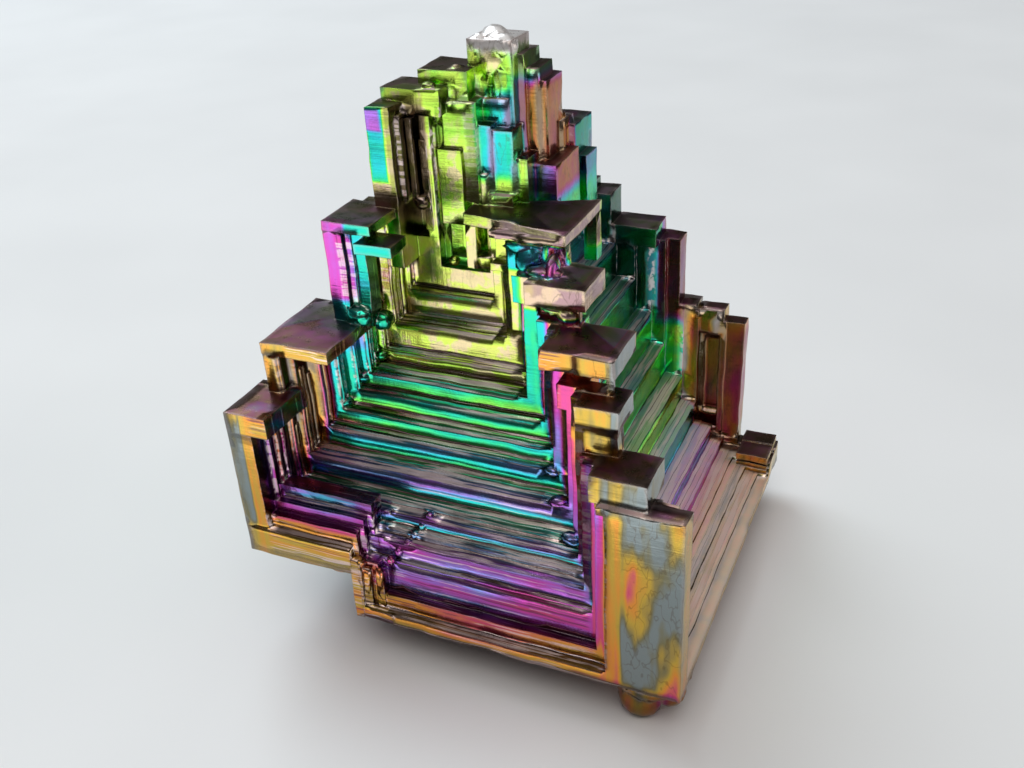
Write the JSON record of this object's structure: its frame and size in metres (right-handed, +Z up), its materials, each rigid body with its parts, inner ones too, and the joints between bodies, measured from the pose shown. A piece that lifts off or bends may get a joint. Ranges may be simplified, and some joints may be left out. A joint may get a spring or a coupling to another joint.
{
  "type": "bismuth hopper crystal",
  "caption": "Bismuth hopper crystal: a tower of stepped square terraces, with sunken nested frames between four stair ridges and overhanging caps.",
  "frame": {"origin": "middle of the crystal's base, on the surface that it stands on", "axes": "+Z up the tower, crystal faces square to X and Y; the wide front hopper opens towards -Y and the narrow one with gold rims towards +X"},
  "size_m": [0.048, 0.044, 0.0604],
  "materials": {
    "bismuth": "iridescent oxide film on bright metal"
  },
  "bodies": {
    "root": {"bismuth_crystal": "bismuth"}
  },
  "joints": []
}
